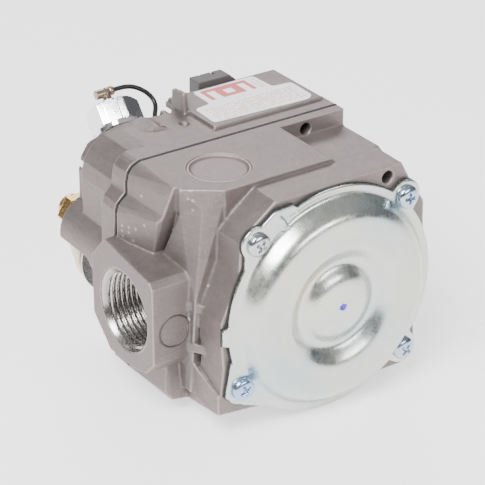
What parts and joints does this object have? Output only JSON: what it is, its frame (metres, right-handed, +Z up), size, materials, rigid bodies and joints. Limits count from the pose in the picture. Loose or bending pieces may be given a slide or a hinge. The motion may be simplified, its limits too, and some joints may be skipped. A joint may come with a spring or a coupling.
{
  "type": "gas valve",
  "caption": "Cube-shaped die-cast combination gas control valve with threaded in-line ports, a round stamped diaphragm cover, a rear control knob and a thermocouple nut with its lead.",
  "frame": {"origin": "centre of the inlet port's face", "axes": "+X along the pipe axis from inlet to outlet, -Y out of the diaphragm cover, +Z up"},
  "size_m": [0.1016, 0.1041, 0.0874],
  "materials": {
    "body_casting": "die-cast, satin",
    "head_casting": "die-cast, satin",
    "plug_steel": "pressed, dull",
    "gasket_rubber": "matt",
    "diaphragm_rubber": "matt",
    "valve_rubber": "matt",
    "zinc_plate": "bright zinc plate",
    "zinc_screw": "bright zinc plate",
    "spring_steel": "drawn wire",
    "brass": "machined",
    "ivory_plastic": "moulded",
    "chrome": "bright",
    "can_copper": "copper",
    "core_steel": "machined",
    "tinned_brass": "tinned, dull",
    "lead_insulation": "smooth",
    "cap_aluminium": "turned",
    "coil_plastic": "moulded",
    "block_plastic": "moulded",
    "label_paper": "printed, semi-gloss"
  },
  "bodies": {
    "valve": {"cock_bush": "zinc_plate", "cock_spring": "spring_steel", "cover_screws": "zinc_screw", "crimp_terminal": "tinned_brass", "diaphragm_cover": "zinc_plate", "head_casting": "head_casting", "head_gasket": "gasket_rubber", "head_screws": "zinc_screw", "inlet_screen": "core_steel", "knob_spring": "spring_steel", "lead_wire": "lead_insulation", "magnet_can": "can_copper", "magnet_coil": "can_copper", "magnet_core": "core_steel", "magnet_nut": "chrome", "main_diaphragm": "diaphragm_rubber", "main_valve_guide": "brass", "main_valve_seat": "brass", "main_valve_spring": "spring_steel", "operator_coil": "coil_plastic", "operator_frame": "core_steel", "operator_spring": "spring_steel", "pilot_fitting": "brass", "rating_label": "label_paper", "regulator_cap": "cap_aluminium", "regulator_diaphragm": "diaphragm_rubber", "regulator_spring": "spring_steel", "tap_plug": "brass", "terminal_block": "block_plastic", "terminal_screws": "zinc_screw", "top_disc_plug": "plug_steel", "valve_body": "body_casting"},
    "main_valve": {"main_valve_stem": "brass", "main_valve_disc": "valve_rubber", "diaphragm_plates": "zinc_plate"},
    "gas_cock": {"cock_plug": "brass"},
    "knob": {"control_knob": "ivory_plastic"},
    "safety_valve": {"magnet_armature": "core_steel", "safety_valve_disc": "valve_rubber"},
    "regulator_adjuster": {"regulator_screw": "ivory_plastic"},
    "pilot_adjuster": {"pilot_adjust_screw": "brass"},
    "operator_valve": {"operator_plunger": "core_steel"}
  },
  "joints": [
    {"name": "main_valve_lift", "type": "slide", "parent": "valve", "child": "main_valve", "axis": [0, -1, 0], "range_m": [0, 0.003], "stiffness_N_per_m": 400, "springref_m": -0.004, "deforming": ["main_diaphragm", "main_valve_spring"]},
    {"name": "gas_cock_turn", "type": "hinge", "parent": "valve", "child": "gas_cock", "pos_m": [0.025, 0.045, -0.008], "axis": [0, 1, 0], "range_deg": [0, 180]},
    {"name": "knob_press", "type": "slide", "parent": "gas_cock", "child": "knob", "axis": [0, -1, 0], "range_m": [0, 0.003], "stiffness_N_per_m": 900, "springref_m": -0.002, "deforming": ["knob_spring"]},
    {"name": "safety_valve_lift", "type": "slide", "parent": "valve", "child": "safety_valve", "axis": [0.0799, 0.7484, 0.6584], "range_m": [0, 0.0027]},
    {"name": "regulator_screw_turn", "type": "hinge", "parent": "valve", "child": "regulator_adjuster", "pos_m": [0.054, 0.04, 0.014], "axis": [0, 1, 0], "range_deg": [-720, 720]},
    {"name": "pilot_screw_turn", "type": "hinge", "parent": "valve", "child": "pilot_adjuster", "pos_m": [0.042, 0.04, 0.03], "axis": [0, 1, 0], "range_deg": [-360, 360]},
    {"name": "operator_pull_in", "type": "slide", "parent": "valve", "child": "operator_valve", "axis": [0, 1, 0], "range_m": [0, 0.0017], "stiffness_N_per_m": 300, "springref_m": -0.002, "deforming": ["operator_spring"]}
  ],
  "couplings": [
    {"joint": "safety_valve_lift", "follows": "knob_press", "ratio": 0.9}
  ]
}
